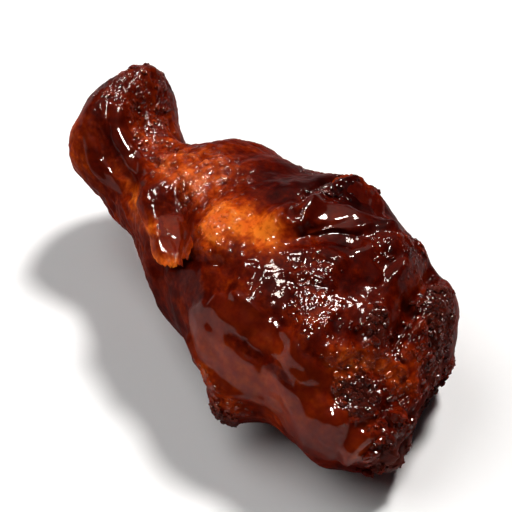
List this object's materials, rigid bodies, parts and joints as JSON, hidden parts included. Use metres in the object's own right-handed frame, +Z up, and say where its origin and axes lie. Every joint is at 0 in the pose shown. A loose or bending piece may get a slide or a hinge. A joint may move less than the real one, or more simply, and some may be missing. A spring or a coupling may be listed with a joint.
{
  "type": "chicken wing drumette",
  "caption": "Glazed fried chicken wing drumette: a knobbed thin end, a slim neck and a fat meaty end with folded skin and a charred crust, lying on its side.",
  "frame": {"origin": "centre of the piece's box in plan, at the height of the table it lies on", "axes": "+X from the thin elbow end towards the fat shoulder end, +Z up from the table, +Y to the far side, away from the side seen in the picture"},
  "size_m": [0.086, 0.0438, 0.0362],
  "materials": {
    "glazed_skin": "sticky dark red-brown glaze over fried skin, glossy, with golden and charred patches"
  },
  "bodies": {
    "root": {"drumette": "glazed_skin"}
  },
  "joints": []
}
